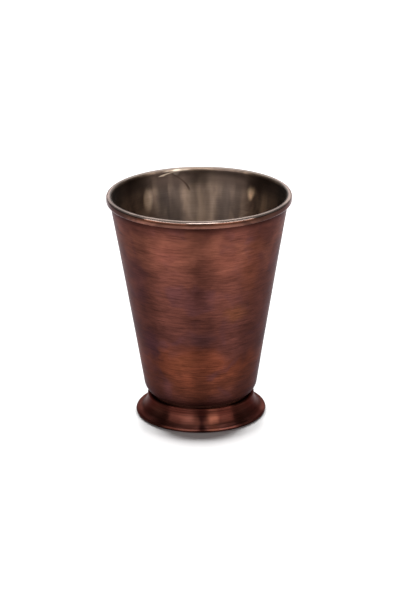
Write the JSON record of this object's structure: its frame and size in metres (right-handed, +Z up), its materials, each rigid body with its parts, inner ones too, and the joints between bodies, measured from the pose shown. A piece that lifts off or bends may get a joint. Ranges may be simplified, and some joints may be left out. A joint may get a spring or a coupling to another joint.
{
  "type": "julep cup",
  "caption": "Tapered copper julep cup with a wired rolled lip, a tinned inside and a hollow flared foot soldered under the floor.",
  "frame": {"origin": "on the cup's axis, on the surface that its foot stands on", "axes": "+Z up along the cup's axis, from the foot to the mouth; the cup is the same all round, so +X and +Y are free"},
  "size_m": [0.0884, 0.0884, 0.11],
  "materials": {
    "cup_copper": "brushed, aged copper",
    "tin_lining": "dull, warm-toned tin",
    "wire_copper": "plain drawn copper",
    "foot_copper": "polished, darkened copper",
    "solder": "dull, darkened solder"
  },
  "bodies": {
    "root": {"cup_shell": "cup_copper", "inner_lining": "tin_lining", "rim_wire": "wire_copper", "foot": "foot_copper", "foot_solder": "solder"}
  },
  "joints": []
}
